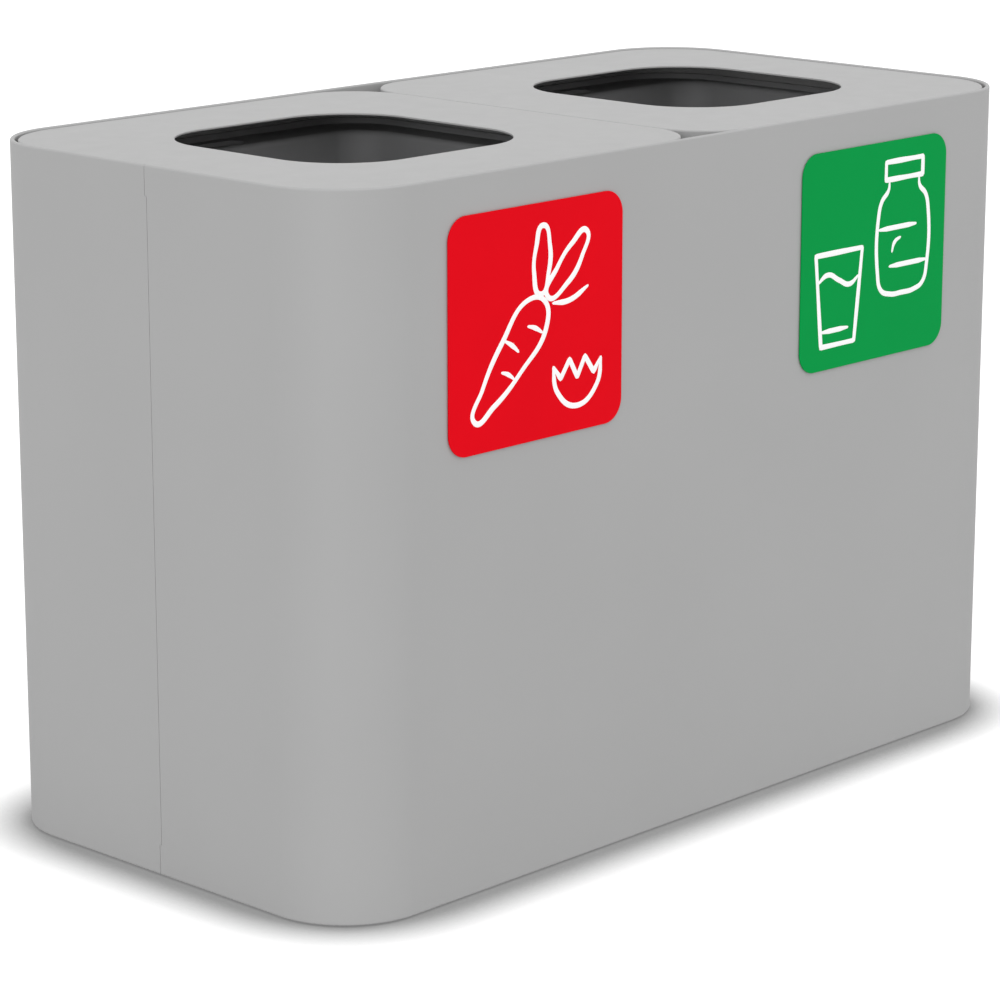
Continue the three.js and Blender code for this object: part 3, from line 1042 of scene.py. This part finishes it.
def drawnLines(name, strokes):
    # Strokes are lists of (x, z) in millimetres from the plate's middle.
    curve = bpy.data.curves.new(name, "CURVE")
    curve.dimensions = "3D"
    for kind, closed, points in strokes:
        spline = curve.splines.new("BEZIER")
        spline.bezier_points.add(len(points) - 1)
        spline.use_cyclic_u = closed
        spline.resolution_u = inkLook["curveSteps"]
        for knot, (x, z) in zip(spline.bezier_points, points):
            knot.co = (x / 1000, 0, z / 1000)
            handle = "AUTO" if kind == "soft" else "VECTOR"
            knot.handle_left_type = handle
            knot.handle_right_type = handle
    piece = bpy.data.objects.new(name, curve)
    scene.collection.objects.link(piece)
    return piece


carrotOutline = [
    (-55, -53), (-38, -46), (-14, -28), (8, -4), (7, 12), (-8, 15), (-31, -8), (-48, -34),
]
carrotAndShell = [
    ("soft", True, carrotOutline),
    ("soft", False, [(5, -7), (-2, -3), (-9, -1)]),
    ("soft", False, [(-29, -7), (-22, -11), (-16, -16)]),
    ("soft", False, [(-20, -32), (-26, -28), (-32, -26)]),
    ("soft", True, [(3, 17), (-3, 31), (-1, 47), (5, 59), (11, 46), (10, 30)]),
    ("soft", True, [(9, 15), (18, 32), (31, 45), (44, 51), (40, 36), (27, 21)]),
    ("soft", False, [(13, 10), (29, 10), (46, 17)]),
    ("soft", False, [(14, -29), (18, -46), (36, -57), (54, -46), (58, -29)]),
    ("sharp", False, [(14, -29), (21, -38), (29, -27), (36, -39), (43, -27), (51, -38), (58, -29)]),
]
jarBody = [
    (15, 46), (14, 40), (7, 33), (4, 24), (4, -15), (8, -27), (18, -31), (31, -31.5),
    (44, -31), (54, -27), (58, -15), (58, 24), (55, 33), (48, 40), (47, 46),
]
jarAndTumbler = [
    ("sharp", True, [(11, 47), (51, 47), (51, 59), (11, 59)]),
    ("soft", False, jarBody),
    ("sharp", False, [(4, 14), (46, 14)]),
    ("sharp", False, [(16, -12), (58, -12)]),
    ("soft", False, [(19, -3), (22, 4), (29, 7)]),
    ("sharp", True, [(-62, 5), (-13, 5), (-20, -57), (-55, -57)]),
    ("soft", False, [(-60, -14), (-49, -9), (-37, -14), (-26, -18), (-16, -13)]),
    ("sharp", False, [(-56, -47), (-26, -47)]),
]
inkStrokes = inkTree()
for name, node, finish, slot, strokes in (
    ("redPlate", "left_sign_plate", "red", "sign_red", carrotAndShell),
    ("greenPlate", "right_sign_plate", "green", "sign_green", jarAndTumbler),
):
    plate = addObject(name, plateMesh(name, node), finishes[finish])
    smoothOff(plate)
    finishPiece(plate, "cabinet", slot, node)
    low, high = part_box(node)
    ink = drawnLines(name + "Lines", strokes)
    inkStrokes.give(
        ink,
        Stroke_width=inkLook["width"],
        Swell=inkLook["swell"],
        Taper=inkLook["taper"],
        Tip=inkLook["tip"],
        Ink_height=inkLook["height"],
        Step=inkLook["step"],
        Place=((low.x + high.x) / 2, low.y, (low.z + high.z) / 2),
        Finish=finishes["white"],
    )
    mesh = resultOf(ink)
    bpy.data.objects.remove(ink)
    picture = addObject(name + "Pictogram", mesh)
    smoothOff(picture, smoothLook["inkAngle"])
    finishPiece(picture, "cabinet", None)
print("plates printed")

# Floor, light and background
floorLook = {
    "size": 40.0,
    "color": 0.55,
    "bounce": 0.68,  # how much light it throws back at the bin
    "glow": 0.66,  # keeps the open floor white for the camera
    # The contact values set a painted shadow line on the floor, seen by the camera only.
    "contactReach": 0.055,  # how far the shadow line spreads from the bottom edge
    "contactRange": (0.58, 0.97),
    "paintedContactShade": (0.28, 1.0),
    "contactSamples": 16,
}
lightLook = {
    "sky": 0.93,
    "seenSky": 1.0,  # plain white
    "suns": {
        # The azimuth turns from the left end (0) to the front (90).
        "sideSun": {"strength": 0.62, "angle": 20, "azimuth": 28, "height": 13},
        "frontSun": {"strength": 0.56, "angle": 50, "azimuth": 100, "height": 65},
    },
}


def floorFinish(look):
    # A white floor. For camera rays, a shadow line is painted into its colour and glow, darker
    # where ambient occlusion finds something standing on it.
    material = bpy.data.materials.new("whiteFloor")
    material.use_nodes = True
    tree = material.node_tree
    tree.nodes.clear()
    link = tree.links.new
    plain = tree.nodes.new("ShaderNodeBsdfDiffuse")
    plain.inputs["Color"].default_value = (look["bounce"],) * 3 + (1,)
    # Painted shadow: ambient occlusion darkens the floor's colour and glow near the bin, for camera
    # rays only.
    near = tree.nodes.new("ShaderNodeAmbientOcclusion")
    near.samples = look["contactSamples"]
    near.inputs["Distance"].default_value = look["contactReach"]
    shade = tree.nodes.new("ShaderNodeMapRange")
    for label, ends in (("From", look["contactRange"]), ("To", look["paintedContactShade"])):
        shade.inputs[label + " Min"].default_value = ends[0]
        shade.inputs[label + " Max"].default_value = ends[1]
    link(near.outputs["AO"], shade.inputs["Value"])
    lit = tree.nodes.new("ShaderNodeBsdfDiffuse")
    toned = tree.nodes.new("ShaderNodeMath")
    toned.operation = "MULTIPLY"
    toned.inputs[1].default_value = look["color"]
    link(shade.outputs["Result"], toned.inputs[0])
    link(toned.outputs[0], lit.inputs["Color"])
    glow = tree.nodes.new("ShaderNodeEmission")
    glow.inputs["Strength"].default_value = look["glow"]
    link(shade.outputs["Result"], glow.inputs["Color"])
    seen = tree.nodes.new("ShaderNodeAddShader")
    link(lit.outputs[0], seen.inputs[0])
    link(glow.outputs[0], seen.inputs[1])
    rays = tree.nodes.new("ShaderNodeLightPath")
    mix = tree.nodes.new("ShaderNodeMixShader")
    link(rays.outputs["Is Camera Ray"], mix.inputs["Fac"])
    link(plain.outputs[0], mix.inputs[1])
    link(seen.outputs[0], mix.inputs[2])
    out = tree.nodes.new("ShaderNodeOutputMaterial")
    link(mix.outputs[0], out.inputs["Surface"])
    return material


def addFloor(look):
    half = look["size"] / 2
    points = [(-half, -half, 0), (half, -half, 0), (half, half, 0), (-half, half, 0)]
    floor = addObject("floor", newMesh("floor", points, [(0, 1, 2, 3)]), floorFinish(look))


def addSky(look):
    # The dome lights softly, and is plain white where it is seen or mirrored.
    world = bpy.data.worlds.new("studio")
    scene.world = world
    world.use_nodes = True
    tree = world.node_tree
    sky = tree.nodes["Background"]
    sky.inputs["Color"].default_value = (1, 1, 1, 1)
    sky.inputs["Strength"].default_value = look["sky"]
    seen = tree.nodes.new("ShaderNodeBackground")
    seen.inputs["Color"].default_value = (1, 1, 1, 1)
    seen.inputs["Strength"].default_value = look["seenSky"]
    rays = tree.nodes.new("ShaderNodeLightPath")
    share = rays.outputs["Is Camera Ray"]
    for label in ("Is Glossy Ray", "Is Transmission Ray"):
        either = tree.nodes.new("ShaderNodeMath")
        either.operation = "MAXIMUM"
        tree.links.new(share, either.inputs[0])
        tree.links.new(rays.outputs[label], either.inputs[1])
        share = either.outputs[0]
    mix = tree.nodes.new("ShaderNodeMixShader")
    tree.links.new(share, mix.inputs["Fac"])
    tree.links.new(sky.outputs[0], mix.inputs[1])
    tree.links.new(seen.outputs[0], mix.inputs[2])
    tree.links.new(mix.outputs[0], tree.nodes["World Output"].inputs["Surface"])


def addSun(name, look):
    data = bpy.data.lights.new(name, "SUN")
    data.energy = look["strength"]
    data.angle = math.radians(look["angle"])
    lamp = bpy.data.objects.new(name, data)
    tilt = look["height"] - 90
    lamp.rotation_euler = (0, math.radians(tilt), math.radians(look["azimuth"]))
    scene.collection.objects.link(lamp)


addFloor(floorLook)
addSky(lightLook)
for name, look in lightLook["suns"].items():
    addSun(name, look)
scene.view_settings.view_transform = "Standard"
print("floor and light set")
